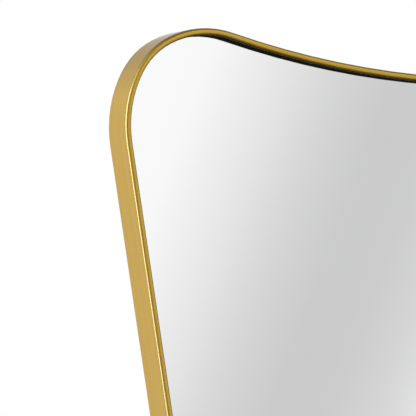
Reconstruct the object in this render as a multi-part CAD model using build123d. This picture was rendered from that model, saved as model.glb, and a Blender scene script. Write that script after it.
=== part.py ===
from build123d import *
import math
import os

# A wall mirror with a shaped outline: broad round shoulders, a shallow dip between them, straight sides
# that lean inwards towards a narrower foot. A thin metal band is rolled round the pane, and the pane
# lies deep behind its rounded front lip. Millimetres. X is the width, +Z up, the front looks along -Y.
# The origin lies in the plane of the wall, at half the height and half the width.

# Outline of the band, seen from the front. A shoulder is three arcs, tightest in the middle, and the
# sweeps say how far the lower and the middle one turn, in degrees.
overall_width = 540.0
overall_height = 700.0
lower_shoulder_radius = 81.0
middle_shoulder_radius = 57.0
upper_shoulder_radius = 74.0
lower_shoulder_sweep = 39.0
middle_shoulder_sweep = 33.5
dip_radius = 745.0
side_lean = 9.66
foot_corner_radius = 60.0
foot_bow_radius = 1300.0

# Band: sheet rolled to a channel with a deep outer wall, a narrow front and a short inner leg
band_depth = 25.4
band_sheet = 1.2
lip_width = 5.0
lip_round = 2.0
inner_leg_depth = 2.4
rear_edge_bevel = 0.4

# Pane, its gasket and what lies behind it, from the front to the back
gasket_thickness = 5.6
gasket_outer_margin = 0.3
glass_thickness = 4.0
glass_edge_gap = 1.0
glass_arris = 0.5
film_thickness = 0.3
film_margin = 2.0
tape_thickness = 1.2
tape_width = 20.0
tape_length = 480.0
tape_spacing = 90.0
tape_count = 4
board_thickness = 6.0
board_edge_gap = 1.5

# Setting blocks under the pane
block_length = 30.0
block_spacing = 164.0
block_play = 0.05

# Fixing tabs inside the band
tab_sheet = 1.2
tab_width = 14.0
tab_foot = 13.0
tab_upright = 4.8
tab_bend_round = 0.8
tab_corner_round = 2.0
tab_seat_play = 0.1
tab_screw_offset = 7.4
tab_hole_play = 0.2
side_tab_shares = (0.06, 0.5, 0.94)
dip_tab_spacing = 180.0
foot_tab_spacing = 160.0

# Screws, one size throughout
screw_shank_radius = 1.5
screw_head_radius = 3.2
screw_head_height = 1.7
screw_rim_height = 0.6
screw_crown_radius = 1.9
screw_length = 6.0
screw_tip = 1.4
screw_slot_width = 0.9
screw_slot_length = 3.6
screw_slot_depth = 0.9
pilot_play = 0.05
pilot_spare_depth = 0.3

# Strap hangers and their rings
hanger_spacing = 300.0
hanger_height = 170.0
strap_sheet = 1.0
strap_width = 12.0
strap_length = 45.0
strap_screw_offsets = (25.0, 38.0)
strap_hole_play = 0.25
eye_play = 0.3
eye_opening = 65.0
ring_wire_radius = 1.1
ring_width = 20.0
ring_length = 17.0
ring_corner = 3.0

# Rubber bumpers that stand on the board and touch the wall
bumper_base_radius = 7.0
bumper_face_radius = 5.5
bumper_edge_bevel = 0.7
wall_standoff = 1.5

# Planes across the depth, each from the one before it
wall_y = 0.0
band_rear_y = wall_y - wall_standoff
band_front_y = band_rear_y - band_depth
leg_end_y = band_front_y + inner_leg_depth
glass_front_y = leg_end_y + gasket_thickness
glass_back_y = glass_front_y + glass_thickness
film_back_y = glass_back_y + film_thickness
board_front_y = film_back_y + tape_thickness
board_back_y = board_front_y + board_thickness

# How near to a plane an edge's middle lies when it is in that plane
plane_tolerance = 0.01

# Insets from the outside of the band
glass_inset = band_sheet + glass_edge_gap
board_inset = band_sheet + board_edge_gap
gasket_inset = glass_inset + gasket_outer_margin


# The direction at an angle above the +X axis, in the plane of the front (x, z)
def direction(degrees):
    return Vector(math.cos(math.radians(degrees)), math.sin(math.radians(degrees)))


# Directions of the outline's right half, from the centres to the points where the side's arcs meet
side_normal = direction(-side_lean)
side_down = direction(-90 - side_lean)
to_middle = direction(lower_shoulder_sweep - side_lean)
to_upper = direction(lower_shoulder_sweep + middle_shoulder_sweep - side_lean)

# Centres of the right half. The lower arc reaches the full width, the upper one the full height.
lower_to_middle = to_middle * (lower_shoulder_radius - middle_shoulder_radius)
middle_to_upper = to_upper * (middle_shoulder_radius - upper_shoulder_radius)
shoulder_x = overall_width / 2 - lower_shoulder_radius
shoulder_z = overall_height / 2 - upper_shoulder_radius - lower_to_middle.Y - middle_to_upper.Y
lower_centre = Vector(shoulder_x, shoulder_z)
middle_centre = lower_centre + lower_to_middle
upper_centre = middle_centre + middle_to_upper
dip_rise = math.sqrt((upper_shoulder_radius + dip_radius) ** 2 - upper_centre.X ** 2)
dip_centre = Vector(0, upper_centre.Y + dip_rise)
bow_centre = Vector(0, foot_bow_radius - overall_height / 2)

# The foot's corner circle touches the side line and lies inside the bow's circle
corner_start = lower_centre + side_normal * (lower_shoulder_radius - foot_corner_radius)
from_bow = corner_start - bow_centre
along = from_bow.dot(side_down)
short = from_bow.dot(from_bow) - (foot_bow_radius - foot_corner_radius) ** 2
corner_centre = corner_start + side_down * (math.sqrt(along ** 2 - short) - along)

to_dip = (dip_centre - upper_centre).normalized()
to_bow = (corner_centre - bow_centre).normalized()


def mirrored(point):
    return Vector(-point.X, point.Y)


# The arc of the right half round a centre, between two directions
def arc(centre, radius, start, end):
    middle = (start + end).normalized()
    return ThreePointArc(centre + start * radius, centre + middle * radius, centre + end * radius)


# The closed outline, drawn inwards of the band's outside by the inset. Every arc keeps its centre.
def outline(inset):
    corner = foot_corner_radius - inset
    side_top = lower_centre + side_normal * (lower_shoulder_radius - inset)
    half = [
        arc(upper_centre, upper_shoulder_radius - inset, to_dip, to_upper),
        arc(middle_centre, middle_shoulder_radius - inset, to_upper, to_middle),
        arc(lower_centre, lower_shoulder_radius - inset, to_middle, side_normal),
        Line(side_top, corner_centre + side_normal * corner),
        arc(corner_centre, corner, side_normal, to_bow),
    ]
    other_half = [mirror(edge, about=Plane.YZ) for edge in half]
    dip_end = upper_centre + to_dip * (upper_shoulder_radius - inset)
    dip_middle = dip_centre - Vector(0, dip_radius + inset)
    bow_end = corner_centre + to_bow * corner
    bow_middle = bow_centre - Vector(0, foot_bow_radius - inset)
    dip = ThreePointArc(mirrored(dip_end), dip_middle, dip_end)
    bow = ThreePointArc(mirrored(bow_end), bow_middle, bow_end)
    return make_face(Curve() + half + other_half + [dip, bow])


# A plate with the outline's shape between two planes across the depth
def outline_plate(inset, front_y, back_y):
    return extrude(Plane.XZ.offset(-back_y) * outline(inset), amount=back_y - front_y)


# The edges that lie in one plane across the depth
def edges_at(shape, y):
    return shape.edges().filter_by_position(Axis.Y, y - plane_tolerance, y + plane_tolerance)


def band_shape():
    wall = outline_plate(0, band_front_y, band_rear_y)
    hollow_front_y = band_front_y + band_sheet
    wall -= outline_plate(band_sheet, hollow_front_y, band_rear_y)
    leg = outline_plate(lip_width - band_sheet, band_front_y, leg_end_y)
    channel = wall + leg - outline_plate(lip_width, band_front_y, band_rear_y)
    channel = fillet(edges_at(channel, band_front_y), lip_round)
    channel = fillet(edges_at(channel, hollow_front_y), lip_round - band_sheet)
    return chamfer(edges_at(channel, band_rear_y), rear_edge_bevel)


def gasket_shape():
    strip = outline_plate(gasket_inset, leg_end_y, glass_front_y)
    return strip - outline_plate(lip_width, leg_end_y, glass_front_y)


def glass_shape():
    pane = outline_plate(glass_inset, glass_front_y, glass_back_y)
    return chamfer(edges_at(pane, glass_front_y) + edges_at(pane, glass_back_y), glass_arris)


# A block between the pane's lower edge and the band, curved as the foot is
def setting_block(middle_x):
    outer = outline_plate(band_sheet + block_play, glass_front_y, glass_back_y)
    strip = outer - outline_plate(glass_inset - block_play, glass_front_y, glass_back_y)
    lower_half = Pos(middle_x, (glass_front_y + glass_back_y) / 2, -overall_height / 2)
    return strip & lower_half * Box(block_length, glass_thickness, overall_height)


def tape_strips():
    strips = []
    for index in range(tape_count):
        x = (index - (tape_count - 1) / 2) * tape_spacing
        place = Pos(x, (film_back_y + board_front_y) / 2, 0)
        strips.append(place * Box(tape_width, tape_thickness, tape_length))
    return strips


# A wood screw with a bevelled flat head along Z, its head's underside at zero and its tip below
def screw_shape():
    rim = (screw_head_radius, screw_rim_height)
    crown = (screw_crown_radius, screw_head_height)
    side = (screw_shank_radius, screw_tip - screw_length)
    with BuildSketch(Plane.XZ) as half:
        with BuildLine():
            Line((0, -screw_length), side)
            Line(side, (screw_shank_radius, 0))
            Line((screw_shank_radius, 0), (screw_head_radius, 0))
            Line((screw_head_radius, 0), rim)
            Line(rim, crown)
            Line(crown, (0, screw_head_height))
            Line((0, screw_head_height), (0, -screw_length))
        make_face()
    body = revolve(half.sketch, Axis.Z)
    slot = Pos(0, 0, screw_head_height) * Box(screw_slot_length, screw_slot_width, screw_slot_depth * 2)
    return body - slot - Rot(0, 0, 90) * slot


# Where each tab sits: a point on the outside of the band and the direction inwards
def tab_seats():
    side_top = lower_centre + side_normal * lower_shoulder_radius
    side_foot = corner_centre + side_normal * foot_corner_radius
    seats = []
    for share in side_tab_shares:
        point = side_top + (side_foot - side_top) * share
        seats.append((point, side_normal * -1))
        seats.append((mirrored(point), mirrored(side_normal * -1)))
    for x in (-dip_tab_spacing / 2, dip_tab_spacing / 2):
        z = dip_centre.Y - math.sqrt(dip_radius ** 2 - x ** 2)
        outwards = (dip_centre - Vector(x, z)).normalized()
        seats.append((Vector(x, z), outwards * -1))
    for x in (-foot_tab_spacing / 2, foot_tab_spacing / 2):
        z = bow_centre.Y - math.sqrt(foot_bow_radius ** 2 - x ** 2)
        seats.append((Vector(x, z), (bow_centre - Vector(x, z)).normalized()))
    return seats


# The board's back at a seat, with local X inwards from the band and local Z towards the wall
def tab_plane(seat):
    point, inwards = seat
    foot = point + inwards * (band_sheet + tab_seat_play)
    return Plane(origin=(foot.X, board_back_y, foot.Y), x_dir=(inwards.X, 0, inwards.Y), z_dir=(0, 1, 0))


# An angle: the upright lies on the band's wall, the foot on the board
def tab_shape():
    section = Rectangle(tab_foot, tab_sheet, align=(Align.MIN, Align.MIN))
    section += Rectangle(tab_sheet, tab_upright, align=(Align.MIN, Align.MIN))
    inside = section.vertices().sort_by_distance((tab_sheet, tab_sheet))[0]
    section = fillet(inside, tab_bend_round)
    outside = section.vertices().sort_by_distance((0, 0))[0]
    section = fillet(outside, tab_bend_round)
    bracket = extrude(Plane.XZ * section, amount=tab_width / 2, both=True)
    toe = bracket.edges().filter_by(Axis.Z).group_by(Axis.X)[-1]
    bracket = fillet(toe, tab_corner_round)
    hole = Pos(tab_screw_offset, 0, tab_sheet / 2) * Cylinder(screw_shank_radius + tab_hole_play, tab_sheet)
    return bracket - hole


# The board's back at a hanger, under the ring's axis, with local Y down and local Z towards the wall
def hanger_plane(x):
    return Plane(origin=(x, board_back_y, hanger_height), x_dir=(1, 0, 0), z_dir=(0, 1, 0))


eye_inner_radius = ring_wire_radius + eye_play
eye_outer_radius = eye_inner_radius + strap_sheet


# A strap whose upper end is rolled round the ring's straight side
def strap_shape():
    middle = Pos(0, eye_outer_radius)
    opening = math.radians(eye_opening)
    reach = eye_outer_radius * 2
    wedge_edge = (reach * math.sin(opening), -reach * math.cos(opening))
    wedge = make_face(Polyline((0, 0), (0, -reach), (reach, -reach), wedge_edge, close=True))
    section = middle * (Circle(eye_outer_radius) - Circle(eye_inner_radius) - wedge)
    section += Rectangle(strap_length, strap_sheet, align=(Align.MIN, Align.MIN))
    strap = extrude(Plane.YZ * section, amount=strap_width / 2, both=True)
    end = strap.edges().filter_by(Axis.Z).group_by(Axis.Y)[-1]
    strap = fillet(end, strap_width / 2 - strap_sheet)
    for offset in strap_screw_offsets:
        hole = Cylinder(screw_shank_radius + strap_hole_play, strap_sheet)
        strap -= Pos(0, offset, strap_sheet / 2) * hole
    return strap


# A D of round wire: straight side through the strap's eye, two tight corners, sides and a half-round bow
def ring_shape():
    half = ring_width / 2
    side_end = ring_length - half
    turn = ring_corner * (1 - math.sqrt(0.5))
    path = Curve() + [
        Line((0, 0), (half - ring_corner, 0)),
        ThreePointArc((half - ring_corner, 0), (half - turn, turn), (half, ring_corner)),
        Line((half, ring_corner), (half, side_end)),
        ThreePointArc((half, side_end), (0, ring_length), (-half, side_end)),
        Line((-half, side_end), (-half, ring_corner)),
        ThreePointArc((-half, ring_corner), (turn - half, turn), (ring_corner - half, 0)),
        Line((ring_corner - half, 0), (0, 0)),
    ]
    wire = sweep(Plane.YZ * Circle(ring_wire_radius), path=Wire(path.edges()))
    return Pos(0, 0, eye_outer_radius) * wire


def bumper_shape():
    height = wall_y - board_back_y
    foot = Cone(bumper_base_radius, bumper_face_radius, height, align=(Align.CENTER, Align.CENTER, Align.MIN))
    return chamfer(foot.edges().group_by(Axis.Z)[-1], bumper_edge_bevel)


# Screws stand on the tabs' feet and on the straps, and bite into the board
seats = tab_seats()
tab_planes = [tab_plane(seat) for seat in seats]
hanger_planes = {"left": hanger_plane(-hanger_spacing / 2), "right": hanger_plane(hanger_spacing / 2)}
tab_screw_places = [plane * Pos(tab_screw_offset, 0, tab_sheet) for plane in tab_planes]
strap_screw_places = {
    side: [plane * Pos(0, offset, strap_sheet) for offset in strap_screw_offsets]
    for side, plane in hanger_planes.items()
}


def board_shape():
    board = outline_plate(board_inset, board_front_y, board_back_y)
    places = tab_screw_places + strap_screw_places["left"] + strap_screw_places["right"]
    depth = screw_length + pilot_spare_depth
    pilot = Cylinder(screw_shank_radius + pilot_play, depth, align=(Align.CENTER, Align.CENTER, Align.MAX))
    for place in places:
        board -= place * pilot
    return board


nodes = {
    "frame_band": band_shape(),
    "glass_gasket": gasket_shape(),
    "mirror_glass": glass_shape(),
    "safety_film": outline_plate(glass_inset + film_margin, glass_back_y, film_back_y),
    "setting_block_left": setting_block(-block_spacing / 2),
    "setting_block_right": setting_block(block_spacing / 2),
    "foam_tape": Compound(children=tape_strips()),
    "backing_board": board_shape(),
}

tab = tab_shape()
for number, plane in enumerate(tab_planes, 1):
    nodes[f"fixing_tab_{number:02d}"] = plane * tab

screw = screw_shape()
nodes["tab_screws"] = Compound(children=[place * screw for place in tab_screw_places])

strap = strap_shape()
ring = ring_shape()
for side, plane in hanger_planes.items():
    nodes[f"hanger_plate_{side}"] = plane * strap
    nodes[f"d_ring_{side}"] = plane * ring
    nodes[f"hanger_screws_{side}"] = Compound(children=[place * screw for place in strap_screw_places[side]])

bumper = bumper_shape()
bumper_seats = {
    "upper_left": mirrored(middle_centre),
    "upper_right": middle_centre,
    "lower_left": mirrored(corner_centre),
    "lower_right": corner_centre,
}
for name, seat in bumper_seats.items():
    place = Plane(origin=(seat.X, board_back_y, seat.Y), x_dir=(1, 0, 0), z_dir=(0, 1, 0))
    nodes[f"bumper_{name}"] = place * bumper

os.makedirs("parts", exist_ok=True)
for name, shape in nodes.items():
    export_step(shape, f"parts/{name}.step")

print("foot corner centre", round(corner_centre.X, 2), round(corner_centre.Y, 2))
print("shoulder centre", round(middle_centre.X, 3), round(middle_centre.Y, 3), "dip", round(dip_centre.Y - dip_radius, 2))
print("ring axis", round(board_back_y + eye_outer_radius, 3), "above the wall plane, height", hanger_height)
print("lip recess", round(glass_front_y - band_front_y, 2), "board back", round(board_back_y, 2))
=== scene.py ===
import bpy
import math
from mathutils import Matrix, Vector

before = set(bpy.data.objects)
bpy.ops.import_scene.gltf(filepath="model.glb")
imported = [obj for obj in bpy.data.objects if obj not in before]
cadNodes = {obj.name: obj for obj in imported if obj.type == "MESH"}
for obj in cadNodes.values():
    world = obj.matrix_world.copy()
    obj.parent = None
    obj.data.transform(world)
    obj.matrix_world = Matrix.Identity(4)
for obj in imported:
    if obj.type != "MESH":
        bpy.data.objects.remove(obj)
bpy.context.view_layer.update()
print("frame: the packed mirror is loaded,", len(cadNodes), "nodes")

# Small helpers for node trees; x and y only place a node in the editor


def addNode(tree, kind, x, y, values=None, **settings):
    node = tree.nodes.new(kind)
    node.location = (x, y)
    for name, value in settings.items():
        setattr(node, name, value)
    for name, value in (values or {}).items():
        node.inputs[name].default_value = value
    return node


def newGroup(name, values, outputs):  # it takes a place and some values, and gives values
    tree = bpy.data.node_groups.new(name, "ShaderNodeTree")
    tree.interface.new_socket("Place", in_out="INPUT", socket_type="NodeSocketVector")
    for label, value in values.items():
        socket = tree.interface.new_socket(label, in_out="INPUT", socket_type="NodeSocketFloat")
        socket.default_value = value
    for label in outputs:
        tree.interface.new_socket(label, in_out="OUTPUT", socket_type="NodeSocketFloat")
    start = addNode(tree, "NodeGroupInput", -900, 0)
    end = addNode(tree, "NodeGroupOutput", 700, 0)
    return tree, start.outputs, end.inputs


def newMaterial(name):  # a bare one, with the socket for its shader and the place on the piece
    material = bpy.data.materials.new(name)
    material.use_nodes = True
    tree = material.node_tree
    tree.nodes.clear()
    surface = addNode(tree, "ShaderNodeOutputMaterial", 900, 0).inputs["Surface"]
    place = addNode(tree, "ShaderNodeTexCoord", -1100, 0).outputs["Object"]
    return material, tree, surface, place


def newFinish(name):
    material, tree, surface, place = newMaterial(name)
    shader = addNode(tree, "ShaderNodeBsdfPrincipled", 600, 0)
    tree.links.new(shader.outputs[0], surface)
    return material, tree, shader, place


def useGroup(tree, group, x, y, place, **values):
    node = addNode(tree, "ShaderNodeGroup", x, y, node_tree=group)
    for name, value in values.items():
        node.inputs[name].default_value = value
    tree.links.new(place, node.inputs["Place"])
    return node.outputs


def feed(tree, socket, value):  # the value is written or linked
    if isinstance(value, bpy.types.NodeSocket):
        tree.links.new(value, socket)
    else:
        socket.default_value = value


def mapped(tree, x, y, value, start, end, low=0.0, high=1.0, smooth=False):
    node = addNode(
        tree, "ShaderNodeMapRange", x, y,
        {"From Min": start, "From Max": end, "To Min": low, "To Max": high},
    )
    if smooth:
        node.interpolation_type = "SMOOTHSTEP"
    tree.links.new(value, node.inputs["Value"])
    return node.outputs["Result"]


def between(tree, x, y, factor, low, high):  # a value that runs from low to high with the factor
    return mapped(tree, x, y, factor, 0.0, 1.0, low, high)


def mixed(tree, x, y, factor, first, second):  # two colours, each written or linked
    node = addNode(tree, "ShaderNodeMix", x, y, data_type="RGBA")
    tree.links.new(factor, node.inputs["Factor"])
    for socket, colour in ((node.inputs[6], first), (node.inputs[7], second)):  # for colours
        feed(tree, socket, colour if isinstance(colour, bpy.types.NodeSocket) else (*colour, 1))
    return node.outputs[2]


def blended(tree, x, y, factor, first, second):  # two values, each written or linked
    node = addNode(tree, "ShaderNodeMix", x, y, data_type="FLOAT")
    tree.links.new(factor, node.inputs["Factor"])
    feed(tree, node.inputs["A"], first)
    feed(tree, node.inputs["B"], second)
    return node.outputs[0]


def bumpFrom(tree, shader, height, strength, depth):
    bump = addNode(tree, "ShaderNodeBump", 350, -350, {"Strength": strength, "Distance": depth})
    tree.links.new(height, bump.inputs["Height"])
    tree.links.new(bump.outputs[0], shader.inputs["Normal"])


def scaledPlace(tree, x, y, place, scale):
    node = addNode(tree, "ShaderNodeVectorMath", x, y, operation="MULTIPLY")
    node.inputs[1].default_value = scale
    tree.links.new(place, node.inputs[0])
    return node.outputs[0]


def lengthOf(tree, x, y, vector):
    node = addNode(tree, "ShaderNodeVectorMath", x, y, operation="LENGTH")
    tree.links.new(vector, node.inputs[0])
    return node.outputs["Value"]


def splitPlace(tree, x, y, place):
    node = addNode(tree, "ShaderNodeSeparateXYZ", x, y)
    tree.links.new(place, node.inputs[0])
    return node.outputs


def noise(tree, x, y, place, scale, detail, roughness):
    node = addNode(tree, "ShaderNodeTexNoise", x, y, {"Detail": detail, "Roughness": roughness})
    tree.links.new(place, node.inputs["Vector"])
    feed(tree, node.inputs["Scale"], scale)
    return node.outputs["Fac"]


def mathNode(tree, x, y, operation, *terms):
    node = addNode(tree, "ShaderNodeMath", x, y, operation=operation)
    for socket, term in zip(node.inputs, terms):
        feed(tree, socket, term)
    return node.outputs[0]


# Effects that more than one finish uses

effects = {
    "fineShare": 0.6,  # of the hairlines' tone; the broad ones make the rest
    "toneSpan": (0.36, 0.64),  # the part of a noise that runs from the dark tone to the pale one
    "markSpan": (0.38, 0.68),  # the part of the noise where handling marks come up
    "bloomSize": 30.0,
}


def makeBrushing(spec):  # hairlines: the place comes in stretched along the brushing
    tree, inputs, outputs = newGroup("brushing", {"Fine": 1.0, "Broad": 0.2}, ["Tone", "Height"])
    fine = noise(tree, -600, 100, inputs["Place"], inputs["Fine"], detail=3.0, roughness=0.7)
    broad = noise(tree, -600, -200, inputs["Place"], inputs["Broad"], detail=2.0, roughness=0.6)
    rest = mathNode(tree, -300, -200, "MULTIPLY", broad, 1.0 - spec["fineShare"])
    both = mathNode(tree, -300, 0, "MULTIPLY_ADD", fine, spec["fineShare"], rest)
    tree.links.new(mapped(tree, 0, 0, both, *spec["toneSpan"]), outputs["Tone"])
    tree.links.new(fine, outputs["Height"])
    return tree


def makeHandling(spec):  # faint wipes and finger marks, seen mostly in the gloss
    tree, inputs, outputs = newGroup("handling marks", {"Size": 12.0}, ["Marks"])
    cloud = noise(tree, -600, 100, inputs["Place"], inputs["Size"], detail=4.0, roughness=0.6)
    tree.links.new(mapped(tree, 0, 0, cloud, *spec["markSpan"], smooth=True), outputs["Marks"])
    return tree


def makeMoulding(spec):  # the fine grain of moulded rubber and plastic, with a slight bloom
    tree, inputs, outputs = newGroup("moulded grain", {"Grain": 900.0}, ["Bloom", "Height"])
    grain = noise(tree, -600, 100, inputs["Place"], inputs["Grain"], detail=2.0, roughness=0.6)
    bloom = noise(tree, -600, -200, inputs["Place"], spec["bloomSize"], detail=3.0, roughness=0.6)
    tree.links.new(bloom, outputs["Bloom"])
    tree.links.new(grain, outputs["Height"])
    return tree


def makeSpangle():  # crystals of a zinc coat
    tree, inputs, outputs = newGroup("zinc spangle", {"Crystals": 500.0}, ["Tone"])
    crystals = addNode(tree, "ShaderNodeTexVoronoi", -500, 100)
    tree.links.new(inputs["Place"], crystals.inputs["Vector"])
    tree.links.new(inputs["Crystals"], crystals.inputs["Scale"])
    split = addNode(tree, "ShaderNodeSeparateColor", -250, 100)
    tree.links.new(crystals.outputs["Color"], split.inputs[0])
    tree.links.new(split.outputs[0], outputs["Tone"])
    return tree


brushing = makeBrushing(effects)
handling = makeHandling(effects)
moulding = makeMoulding(effects)
spangle = makeSpangle()
print("effects: brushing, handling marks, moulded grain and zinc spangle are built")

# The band: satin brass plating, brushed along the strip

band = {
    "brass": (0.560, 0.345, 0.024),
    "brassShade": (0.510, 0.305, 0.014),
    "edgeTint": (1.0, 0.85, 0.55),  # what the brass reflects at a glancing angle
    "lacquer": 0.9,
    "lacquerRough": 0.07,
    "hairline": (7.0, 1500.0, 7.0),  # how often the tone changes along x, y and z, per metre
    "broadLines": 0.22,  # how often the broad hairlines come, against the fine ones
    "roughLow": 0.20,
    "roughHigh": 0.31,
    "bump": 0.12,
    "hairlineDepth": 0.00002,
    "markSize": 14.0,
    "markRough": 0.05,  # how much rougher the brass is under a finger mark
    "paintedHighlight": (0.600, 0.490, 0.215),  # a painted highlight: a paler line along the lip's outer rounding, where the left softbox shows
    "paintedHighlightAt": -0.0262,  # y of that line, metres
    "paintedHighlightReach": 0.0006,
    "paintedHighlightMost": 0.8,
}


def brassFinish(spec):
    material, tree, shader, place = newFinish("satinBrass")
    stretched = scaledPlace(tree, -900, 0, place, spec["hairline"])
    lines = useGroup(tree, brushing, -700, 0, stretched, Fine=1.0, Broad=spec["broadLines"])
    marks = useGroup(tree, handling, -700, -300, place, Size=spec["markSize"])
    tone = mixed(tree, -300, 200, lines["Tone"], spec["brassShade"], spec["brass"])

    # Painted highlight: the base colour turns paler in a thin line along the lip's outer rounding,
    # on faces that look outwards
    depth = splitPlace(tree, -900, 500, place)["Y"]
    fromLine = mathNode(tree, -700, 500, "SUBTRACT", depth, spec["paintedHighlightAt"])
    offLine = mathNode(tree, -500, 500, "ABSOLUTE", fromLine)
    reach, most = spec["paintedHighlightReach"], spec["paintedHighlightMost"]
    highlightFalloff = mapped(tree, -300, 500, offLine, 0.0, reach, most, 0.0, smooth=True)
    away = addNode(tree, "ShaderNodeVectorMath", -700, 700, operation="DOT_PRODUCT")
    tree.links.new(place.node.outputs["Normal"], away.inputs[0])
    tree.links.new(scaledPlace(tree, -900, 700, place, (1.0, 0.0, 1.0)), away.inputs[1])
    outer = mathNode(tree, -500, 700, "GREATER_THAN", away.outputs["Value"], 0.0)
    line = mathNode(tree, -100, 500, "MULTIPLY", highlightFalloff, outer)
    tree.links.new(mixed(tree, 0, 300, line, tone, spec["paintedHighlight"]), shader.inputs["Base Color"])

    rough = between(tree, -300, -100, lines["Tone"], spec["roughHigh"], spec["roughLow"])
    smear = between(tree, -300, -350, marks["Marks"], 0.0, spec["markRough"])
    tree.links.new(mathNode(tree, 0, -150, "ADD", rough, smear), shader.inputs["Roughness"])
    shader.inputs["Metallic"].default_value = 1.0
    shader.inputs["Specular Tint"].default_value = (*spec["edgeTint"], 1)
    shader.inputs["Coat Weight"].default_value = spec["lacquer"]
    shader.inputs["Coat Roughness"].default_value = spec["lacquerRough"]
    bumpFrom(tree, shader, lines["Height"], spec["bump"], spec["hairlineDepth"])
    return material


# The pane: silvered float glass

pane = {
    "silver": (0.955, 0.962, 0.958),
    "silverShade": (0.948, 0.955, 0.950),
    "roughLow": 0.004,
    "roughHigh": 0.022,  # where a cloth has left a wipe
    "wipeStretch": (1.0, 1.0, 2.2),
    "wipeSize": 3.0,
}


def silverFinish(spec):
    material, tree, shader, place = newFinish("silveredGlass")
    stretched = scaledPlace(tree, -900, 0, place, spec["wipeStretch"])
    wipes = useGroup(tree, handling, -700, 0, stretched, Size=spec["wipeSize"])
    tone = mixed(tree, -300, 200, wipes["Marks"], spec["silver"], spec["silverShade"])
    tree.links.new(tone, shader.inputs["Base Color"])
    rough = between(tree, -300, -100, wipes["Marks"], spec["roughLow"], spec["roughHigh"])
    tree.links.new(rough, shader.inputs["Roughness"])
    shader.inputs["Metallic"].default_value = 1.0
    return material


# Rubber and plastic: the bloom is the paler tone that lies on them in patches

softParts = {
    "gasket": {
        "base": (0.006, 0.004, 0.003), "bloom": (0.010, 0.007, 0.005),
        "rough": (0.55, 0.75), "grain": 1400.0, "gloss": 0.06,
    },
    "bumper": {
        "base": (0.022, 0.022, 0.023), "bloom": (0.040, 0.039, 0.038),
        "rough": (0.60, 0.82), "grain": 1100.0, "gloss": 0.5,
    },
    "block": {
        "base": (0.040, 0.041, 0.043), "bloom": (0.060, 0.060, 0.062),
        "rough": (0.40, 0.55), "grain": 700.0, "gloss": 0.5,
    },
    "film": {
        "base": (0.230, 0.260, 0.300), "bloom": (0.290, 0.320, 0.355),
        "rough": (0.30, 0.45), "grain": 260.0, "gloss": 0.5,
    },
    "foam": {
        "base": (0.560, 0.550, 0.520), "bloom": (0.700, 0.690, 0.660),
        "rough": (0.85, 0.95), "grain": 1700.0, "gloss": 0.5,
    },
}
mouldedSkin = {"bump": 0.3, "depth": 0.0002}


def mouldedFinish(name, spec):
    material, tree, shader, place = newFinish(name + "Finish")
    grain = useGroup(tree, moulding, -700, 0, place, Grain=spec["grain"])
    tone = mixed(tree, -300, 200, grain["Bloom"], spec["base"], spec["bloom"])
    tree.links.new(tone, shader.inputs["Base Color"])
    rough = between(tree, -300, -100, grain["Bloom"], *spec["rough"])
    tree.links.new(rough, shader.inputs["Roughness"])
    shader.inputs["Specular IOR Level"].default_value = spec["gloss"]
    bumpFrom(tree, shader, grain["Height"], mouldedSkin["bump"], mouldedSkin["depth"])
    return material


# The backing board: raw medium-density fibreboard

board = {
    "fibre": (0.400, 0.272, 0.158),
    "fibreLight": (0.500, 0.358, 0.222),
    "fleck": (0.215, 0.135, 0.072),
    "rough": (0.78, 0.92),
    "clouds": 22.0,
    "strands": (700.0, 700.0, 160.0),  # changes per metre along x, y and z
    "flecks": (240.0, 600.0, 900.0),
    "strandShare": 0.5,  # of the tone; the clouds make the rest
    "toneSpan": (0.36, 0.64),
    "fleckSpan": (0.63, 0.74),
    "fleckMost": 0.55,
    "bump": 0.35,
    "strandDepth": 0.0003,
}


def fibreFinish(spec):
    material, tree, shader, place = newFinish("fibreboard")
    alongStrands = scaledPlace(tree, -1000, 50, place, spec["strands"])
    alongFlecks = scaledPlace(tree, -1000, -200, place, spec["flecks"])
    cloud = noise(tree, -800, 300, place, spec["clouds"], detail=5.0, roughness=0.65)
    strands = noise(tree, -800, 50, alongStrands, 1.0, detail=3.0, roughness=0.7)
    flecks = noise(tree, -800, -200, alongFlecks, 1.0, detail=2.0, roughness=0.5)
    share = spec["strandShare"]
    threads = mathNode(tree, -550, 0, "MULTIPLY", strands, share)
    both = mathNode(tree, -550, 200, "MULTIPLY_ADD", cloud, 1.0 - share, threads)
    pale = mapped(tree, -350, 200, both, *spec["toneSpan"])
    tone = mixed(tree, -100, 200, pale, spec["fibre"], spec["fibreLight"])
    speck = mapped(tree, -350, -200, flecks, *spec["fleckSpan"], 0.0, spec["fleckMost"])
    tree.links.new(mixed(tree, 150, 100, speck, tone, spec["fleck"]), shader.inputs["Base Color"])
    rough = between(tree, -100, -100, strands, *spec["rough"])
    tree.links.new(rough, shader.inputs["Roughness"])
    bumpFrom(tree, shader, strands, spec["bump"], spec["strandDepth"])
    return material


# Plated steel: tabs, straps, screws and rings

steelParts = {
    "tab": {
        "bright": (0.640, 0.645, 0.640), "shade": (0.500, 0.505, 0.505),
        "rough": (0.28, 0.44), "crystals": 620.0,
    },
    "hanger": {
        "bright": (0.610, 0.610, 0.600), "shade": (0.480, 0.480, 0.470),
        "rough": (0.26, 0.40), "crystals": 700.0,
    },
    "screw": {
        "bright": (0.690, 0.610, 0.420), "shade": (0.560, 0.470, 0.290),
        "rough": (0.24, 0.38), "crystals": 900.0,
    },
    "ring": {
        "bright": (0.720, 0.700, 0.660), "shade": (0.650, 0.630, 0.590),
        "rough": (0.10, 0.20), "crystals": 420.0,
    },
}
platedSkin = {
    "hairline": (900.0, 120.0, 120.0),  # changes per metre along x, y and z
    "crystalShare": 0.5,  # of the tone; the hairlines make the rest
    "markSize": 60.0,
    "bump": 0.15,
    "hairlineDepth": 0.00003,
}


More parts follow.
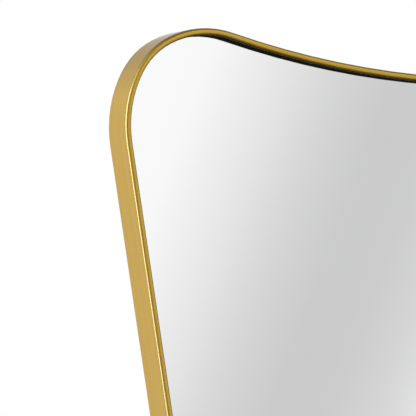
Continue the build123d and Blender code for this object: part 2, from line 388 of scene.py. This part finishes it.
def platedFinish(name, spec, skin):
    material, tree, shader, place = newFinish(name + "Steel")
    stretched = scaledPlace(tree, -900, -100, place, skin["hairline"])
    crystals = useGroup(tree, spangle, -700, 200, place, Crystals=spec["crystals"])
    lines = useGroup(tree, brushing, -700, -100, stretched, Fine=1.0)
    marks = useGroup(tree, handling, -700, -400, place, Size=skin["markSize"])
    share = skin["crystalShare"]
    rest = mathNode(tree, -450, -100, "MULTIPLY", lines["Tone"], 1.0 - share)
    both = mathNode(tree, -450, 100, "MULTIPLY_ADD", crystals["Tone"], share, rest)
    tone = mixed(tree, -150, 200, both, spec["shade"], spec["bright"])
    tree.links.new(tone, shader.inputs["Base Color"])
    rough = between(tree, -150, -100, marks["Marks"], *spec["rough"])
    tree.links.new(rough, shader.inputs["Roughness"])
    shader.inputs["Metallic"].default_value = 1.0
    bumpFrom(tree, shader, lines["Height"], skin["bump"], skin["hairlineDepth"])
    return material


# Which finish a node gets, by the start of its name
finishes = {
    "frame_band": brassFinish(band),
    "mirror_glass": silverFinish(pane),
    "glass_gasket": mouldedFinish("gasket", softParts["gasket"]),
    "safety_film": mouldedFinish("film", softParts["film"]),
    "setting_block": mouldedFinish("block", softParts["block"]),
    "foam_tape": mouldedFinish("foam", softParts["foam"]),
    "backing_board": fibreFinish(board),
    "fixing_tab": platedFinish("tab", steelParts["tab"], platedSkin),
    "tab_screws": platedFinish("screw", steelParts["screw"], platedSkin),
    "hanger_plate": platedFinish("hanger", steelParts["hanger"], platedSkin),
    "d_ring": platedFinish("ring", steelParts["ring"], platedSkin),
    "bumper": mouldedFinish("bumper", softParts["bumper"]),
}
finishes["hanger_screws"] = finishes["tab_screws"]

for name, piece in cadNodes.items():
    finish = next(material for start, material in finishes.items() if name.startswith(start))
    piece.data.materials.clear()
    piece.data.materials.append(finish)
print("finishes: every node has its own material,", len(set(finishes.values())), "materials")

# The studio, with what more than one of its pieces uses

studio = {
    "floorHeight": -0.3506,
    "fill": 0.72,  # what the world and the far floor give to matt surfaces
    "footTone": 0.42,  # of the grey card where it meets the floor, and of the dark flag beside it
    "recessTone": 0.12,  # painted shade in the recess between lip and pane: how much of that is left after two reflections
    "glossyDepth": 1.5,  # light above this depth has met two glossy surfaces or more
}


def lightPathMask(tree, x, y, *kinds):
    path = addNode(tree, "ShaderNodeLightPath", x, y)
    mask = path.outputs[kinds[0]]
    for step, kind in enumerate(kinds[1:]):
        mask = mathNode(tree, x + 200 + 160 * step, y, "MAXIMUM", mask, path.outputs[kind])
    return mask


def secondMirroring(tree):  # 1 for light that two glossy surfaces have passed on; dimming that light paints shade into the recess between lip and pane
    depth = addNode(tree, "ShaderNodeLightPath", -500, -600).outputs["Glossy Depth"]
    return mathNode(tree, -300, -600, "GREATER_THAN", depth, studio["glossyDepth"])


def glowing(tree, x, y, strength):
    node = addNode(tree, "ShaderNodeEmission", x, y)
    tree.links.new(strength, node.inputs["Strength"])
    return node.outputs[0]


def mixedShaders(tree, x, y, factor, first, second):
    node = addNode(tree, "ShaderNodeMixShader", x, y)
    for socket, source in zip(node.inputs, (factor, first, second)):
        tree.links.new(source, socket)
    return node.outputs[0]


def newPiece(name, verts, faces):
    mesh = bpy.data.meshes.new(name)
    mesh.from_pydata(verts, [], faces)
    piece = bpy.data.objects.new(name, mesh)
    bpy.context.scene.collection.objects.link(piece)
    return piece


def showInReflections(piece):  # glossy rays see it, nothing else does
    piece.visible_camera = False
    piece.visible_diffuse = False
    piece.visible_shadow = False
    piece.visible_transmission = False


floorLook = {
    "tone": 0.93,
    "reach": 30.0,
    "whiteFrom": 1.2,  # metres from the middle where it begins to turn to plain white
    "whiteTo": 3.0,
}


def makeFloor(spec):
    reach, z = spec["reach"], studio["floorHeight"]
    corners = [(-reach, -reach, z), (reach, -reach, z), (reach, reach, z), (-reach, reach, z)]
    floor = newPiece("floor", corners, [(0, 1, 2, 3)])
    material, tree, surface, place = newMaterial("paleFloor")
    fromMiddle = lengthOf(tree, -700, 0, place)
    far = mapped(tree, -500, 0, fromMiddle, spec["whiteFrom"], spec["whiteTo"], smooth=True)
    matt = addNode(tree, "ShaderNodeBsdfDiffuse", -300, 150, {"Color": (*[spec["tone"]] * 3, 1)})
    rays = ("Is Camera Ray", "Is Glossy Ray", "Is Transmission Ray")
    seen = lightPathMask(tree, -900, -300, *rays)
    white = glowing(tree, -100, -150, between(tree, -300, -150, seen, studio["fill"], 1.0))
    tree.links.new(mixedShaders(tree, 100, 0, far, matt.outputs[0], white), surface)
    floor.data.materials.append(material)


worldLook = {
    "ceiling": 0.25,  # how bright the room is overhead and to the right, as the brass shows it
    "slant": 0.5,  # how much a direction to the right counts as one upwards
    "whiteTo": 0.12,  # up to here the room is white
    "ceilingFrom": 0.90,
    "recess": 0.5,  # painted shade in the recess between lip and pane: how much of the world is left after two reflections
}


def makeWorld(spec):
    world = bpy.data.worlds.new("studio")
    bpy.context.scene.world = world
    world.use_nodes = True
    tree = world.node_tree
    tree.nodes.clear()
    direction = addNode(tree, "ShaderNodeTexCoord", -900, 200).outputs["Generated"]
    along = splitPlace(tree, -700, 200, direction)
    up = mathNode(tree, -600, 400, "MULTIPLY_ADD", along["X"], spec["slant"], along["Z"])
    room = mapped(tree, -400, 200, up, spec["whiteTo"], spec["ceilingFrom"], 1.0, spec["ceiling"])
    gloss = lightPathMask(tree, -900, -400, "Is Glossy Ray", "Is Transmission Ray")
    lit = blended(tree, -200, 0, gloss, studio["fill"], room)
    camera = lightPathMask(tree, -900, -100, "Is Camera Ray")
    shown = blended(tree, 0, 0, camera, lit, 1.0)
    # painted shade in the recess: the world is dimmed for light that has met two glossy surfaces
    recess = between(tree, 0, -300, secondMirroring(tree), 1.0, spec["recess"])
    strength = mathNode(tree, 200, 0, "MULTIPLY", shown, recess)
    background = addNode(tree, "ShaderNodeBackground", 400, 0, {"Color": (1, 1, 1, 1)})
    tree.links.new(strength, background.inputs["Strength"])
    output = addNode(tree, "ShaderNodeOutputWorld", 600, 0)
    tree.links.new(background.outputs[0], output.inputs["Surface"])


# A reflected softbox shows in the gloss only, the others light matt parts
softboxes = {
    "leftSoftbox": {
        "place": (-1.25, -0.37, 0.28), "aim": (-0.25, -0.03, 0.16), "width": 0.42,
        "height": 1.20, "watts": 4.6, "colour": (0.78, 0.86, 1.0), "reflected": True,
    },
    "topSoftbox": {
        "place": (0.2, -1.6, 2.4), "aim": (0.0, 0.0, 0.1), "width": 1.6,
        "height": 1.2, "watts": 16.0, "colour": (1.0, 1.0, 1.0), "reflected": False,
    },
    "backSoftbox": {
        "place": (0.9, 2.6, 1.4), "aim": (0.0, 0.0, 0.0), "width": 1.6,
        "height": 1.6, "watts": 14.0, "colour": (1.0, 1.0, 1.0), "reflected": False,
    },
}


def makeSoftbox(name, spec):
    lamp = bpy.data.lights.new(name, "AREA")
    lamp.shape = "RECTANGLE"
    lamp.size = spec["width"]
    lamp.size_y = spec["height"]
    lamp.energy = spec["watts"]
    lamp.color = spec["colour"]
    box = bpy.data.objects.new(name, lamp)
    bpy.context.scene.collection.objects.link(box)
    box.location = spec["place"]
    aim = Vector(spec["aim"]) - Vector(spec["place"])
    box.rotation_euler = aim.to_track_quat("-Z", "Y").to_euler()
    box.visible_camera = False
    box.visible_glossy = spec["reflected"]
    box.visible_diffuse = not spec["reflected"]


# The curved grey card that the pane shows
card = {
    "radius": 2.6,
    "lift": 0.002,  # of its foot off the floor
    "top": 2.2,
    "panels": 90,
    "lean": 0.142,  # how far its tones lean over with the height, radians per metre
    "footTo": 0.22,  # the height where its foot's own tone has gone
    "upperSpan": (0.8, 1.4),  # heights between which it grows brighter, above what the pane shows
    "upperGain": 1.3,
    # degrees from straight ahead towards the right, and how bright the card is there
    "tones": [
        (-58, 1.00), (-42, 0.76), (-24, 0.38), (-10, 0.36), (2, 0.50), (10, 0.95),
        (16.5, 1.15), (18.2, 1.00), (19, 0.99), (20, 0.98), (20.5, 0.94), (21.4, 0.87),
        (22.3, 0.80), (23.2, 0.72), (24.2, 0.66), (25.4, 0.62), (27, 0.66), (30, 1.05),
        (34, 1.30), (42, 1.10), (56, 0.62), (78, 0.50),
    ],
}


def alongCard(spec, steps):  # x and y of points along it
    first, last = spec["tones"][0][0], spec["tones"][-1][0]
    turns = [math.radians(first + (last - first) * step / steps) for step in range(steps + 1)]
    return [(spec["radius"] * math.sin(turn), -spec["radius"] * math.cos(turn)) for turn in turns]


def toneCurve(tree, x, y, share, tones):
    first, last = tones[0][0], tones[-1][0]
    brightest = max(tone for angle, tone in tones)
    ramp = addNode(tree, "ShaderNodeFloatCurve", x, y)
    curve = ramp.mapping.curves[0]
    points = [((angle - first) / (last - first), tone / brightest) for angle, tone in tones]
    while len(curve.points) < len(points):
        curve.points.new(0.5, 0.5)
    for point, spot in zip(curve.points, points):
        point.location = spot
        point.handle_type = "AUTO_CLAMPED"
    ramp.mapping.update()
    tree.links.new(share, ramp.inputs["Value"])
    return mathNode(tree, x + 150, y - 150, "MULTIPLY", ramp.outputs[0], brightest)


def makeCard(spec):
    tones, steps = spec["tones"], spec["panels"]
    heights = (studio["floorHeight"] + spec["lift"], spec["top"])
    verts = [(x, y, z) for x, y in alongCard(spec, steps) for z in heights]
    faces = [(2 * step, 2 * step + 2, 2 * step + 3, 2 * step + 1) for step in range(steps)]
    piece = newPiece("greyCard", verts, faces)
    material, tree, surface, place = newMaterial("greyCard")
    along = splitPlace(tree, -1100, 0, place)
    ahead = mathNode(tree, -900, 100, "MULTIPLY", along["Y"], -1.0)
    turn = mathNode(tree, -700, 100, "ARCTAN2", along["X"], ahead)
    lean = mathNode(tree, -700, -100, "MULTIPLY", along["Z"], spec["lean"])
    around = mathNode(tree, -500, 0, "SUBTRACT", turn, lean)
    ends = (math.radians(tones[0][0]), math.radians(tones[-1][0]))
    tone = toneCurve(tree, -100, 0, mapped(tree, -300, 0, around, *ends), tones)
    gain = mapped(tree, -300, -350, along["Z"], *spec["upperSpan"], 1.0, spec["upperGain"])
    body = mathNode(tree, -100, -350, "MULTIPLY", tone, gain)
    above = mapped(
        tree, -300, -500, along["Z"], studio["floorHeight"], spec["footTo"], smooth=True
    )
    shade = blended(tree, 50, -350, above, studio["footTone"], body)
    # painted shade in the recess: the card is dimmed for light that has met two glossy surfaces
    kept = between(tree, -100, -600, secondMirroring(tree), 1.0, studio["recessTone"])
    strength = mathNode(tree, 150, -200, "MULTIPLY", shade, kept)
    tree.links.new(glowing(tree, 200, 0, strength), surface)
    piece.data.materials.append(material)
    showInReflections(piece)


# A dark flag on the floor in front: the lips' inner roundings show it where they turn down. It
# clears at its edge and where it is looked at from low down, so that the pane shows the floor there,
# and towards the card it takes the tone of the card's foot.
flag = {
    "tone": 0.15,
    "recessTone": 0.01,  # painted shade in the recess between lip and pane, after two reflections
    "lift": 0.004,
    "nearEdge": -0.03,  # y of its edge under the mirror
    "leftEnd": -1.6,
    "rightEnd": 2.2,
    "panels": 40,
    "middle": (0.3, -0.2),
    "halfSize": (1.7, 1.3),
    "edgeSpan": (0.45, 1.1),  # shares of the half size between which it clears
    "shallowSpan": (0.32, 0.78),  # how low a look clears it, as Layer Weight's facing counts
    "footFrom": 0.9,  # metres from the middle where the card's foot tone begins
}


def makeFlag(spec, cardSpec):
    z = studio["floorHeight"] + spec["lift"]
    arc = [(x, y, z) for x, y in alongCard(cardSpec, spec["panels"])]
    start = (spec["leftEnd"], spec["nearEdge"], z)
    end = (spec["rightEnd"], spec["nearEdge"], z)
    verts = [start, *arc, end]
    piece = newPiece("darkFlag", verts, [tuple(range(len(verts)))])
    material, tree, surface, place = newMaterial("darkFlag")
    again = secondMirroring(tree)

    fromMiddle = addNode(
        tree, "ShaderNodeMapping", -700, 0,
        {"Location": (*spec["middle"], z), "Scale": (*spec["halfSize"], 1.0)},
        vector_type="TEXTURE",
    )
    tree.links.new(place, fromMiddle.inputs["Vector"])
    length = lengthOf(tree, -500, 0, fromMiddle.outputs[0])
    edge = mapped(tree, -300, 0, length, *spec["edgeSpan"], smooth=True)
    glance = addNode(tree, "ShaderNodeLayerWeight", -500, -250, {"Blend": 0.5})
    shallow = mapped(tree, -300, -250, glance.outputs["Facing"], *spec["shallowSpan"])
    firstOnly = between(tree, -100, -600, again, 1.0, 0.0)
    once = mathNode(tree, -100, -250, "MULTIPLY", shallow, firstOnly)
    clear = mathNode(tree, 0, -100, "MAXIMUM", edge, once)
    # painted shade in the recess: the flag is darker still after two reflections
    tone = between(tree, -100, -750, again, spec["tone"], spec["recessTone"])
    through = addNode(tree, "ShaderNodeBsdfTransparent", -100, -450)
    dark = mixedShaders(tree, 150, 0, clear, glowing(tree, 0, -300, tone), through.outputs[0])

    across = lengthOf(tree, -500, 300, scaledPlace(tree, -700, 300, place, (1.0, 1.0, 0.0)))
    far = mapped(tree, -300, 300, across, spec["footFrom"], cardSpec["radius"], smooth=True)
    footTone = studio["footTone"]
    # painted shade in the recess: the foot tone is dimmed after two reflections too
    foot = between(tree, 0, -450, again, footTone, footTone * studio["recessTone"])
    both = mixedShaders(tree, 350, 0, far, dark, glowing(tree, 150, -200, foot))
    tree.links.new(both, surface)
    piece.data.materials.append(material)
    showInReflections(piece)


makeFloor(floorLook)
makeWorld(worldLook)
for name, spec in softboxes.items():
    makeSoftbox(name, spec)
makeCard(card)
makeFlag(flag, card)
print("studio: floor, world, three softboxes, the grey card and the dark flag are in place")

# The camera: long lens, from the mirror's left, a little below its middle

shot = {
    "turn": 28.9722,  # degrees round from straight ahead
    "tilt": 4.2802,  # degrees upwards
    "distance": 4.2622,
    "aim": (-0.20475, -0.0269, 0.22347),
    "lens": 527.97,
    "sensor": 36.0,
    "seesTo": 100.0,
}


def makeCamera(spec):
    camera = bpy.data.objects.new("camera", bpy.data.cameras.new("camera"))
    bpy.context.scene.collection.objects.link(camera)
    turn, tilt = math.radians(spec["turn"]), math.radians(spec["tilt"])
    level = math.cos(tilt)
    ahead = Vector((level * math.sin(turn), level * math.cos(turn), math.sin(tilt)))
    camera.location = Vector(spec["aim"]) - ahead * spec["distance"]
    levelled = math.radians(90)  # an unturned camera looks straight down
    camera.rotation_euler = (levelled + tilt, 0.0, -turn)
    camera.data.lens = spec["lens"]
    camera.data.sensor_width = spec["sensor"]
    camera.data.clip_end = spec["seesTo"]
    bpy.context.scene.camera = camera


makeCamera(shot)
bpy.context.scene.view_settings.view_transform = "Standard"
print("camera: set")
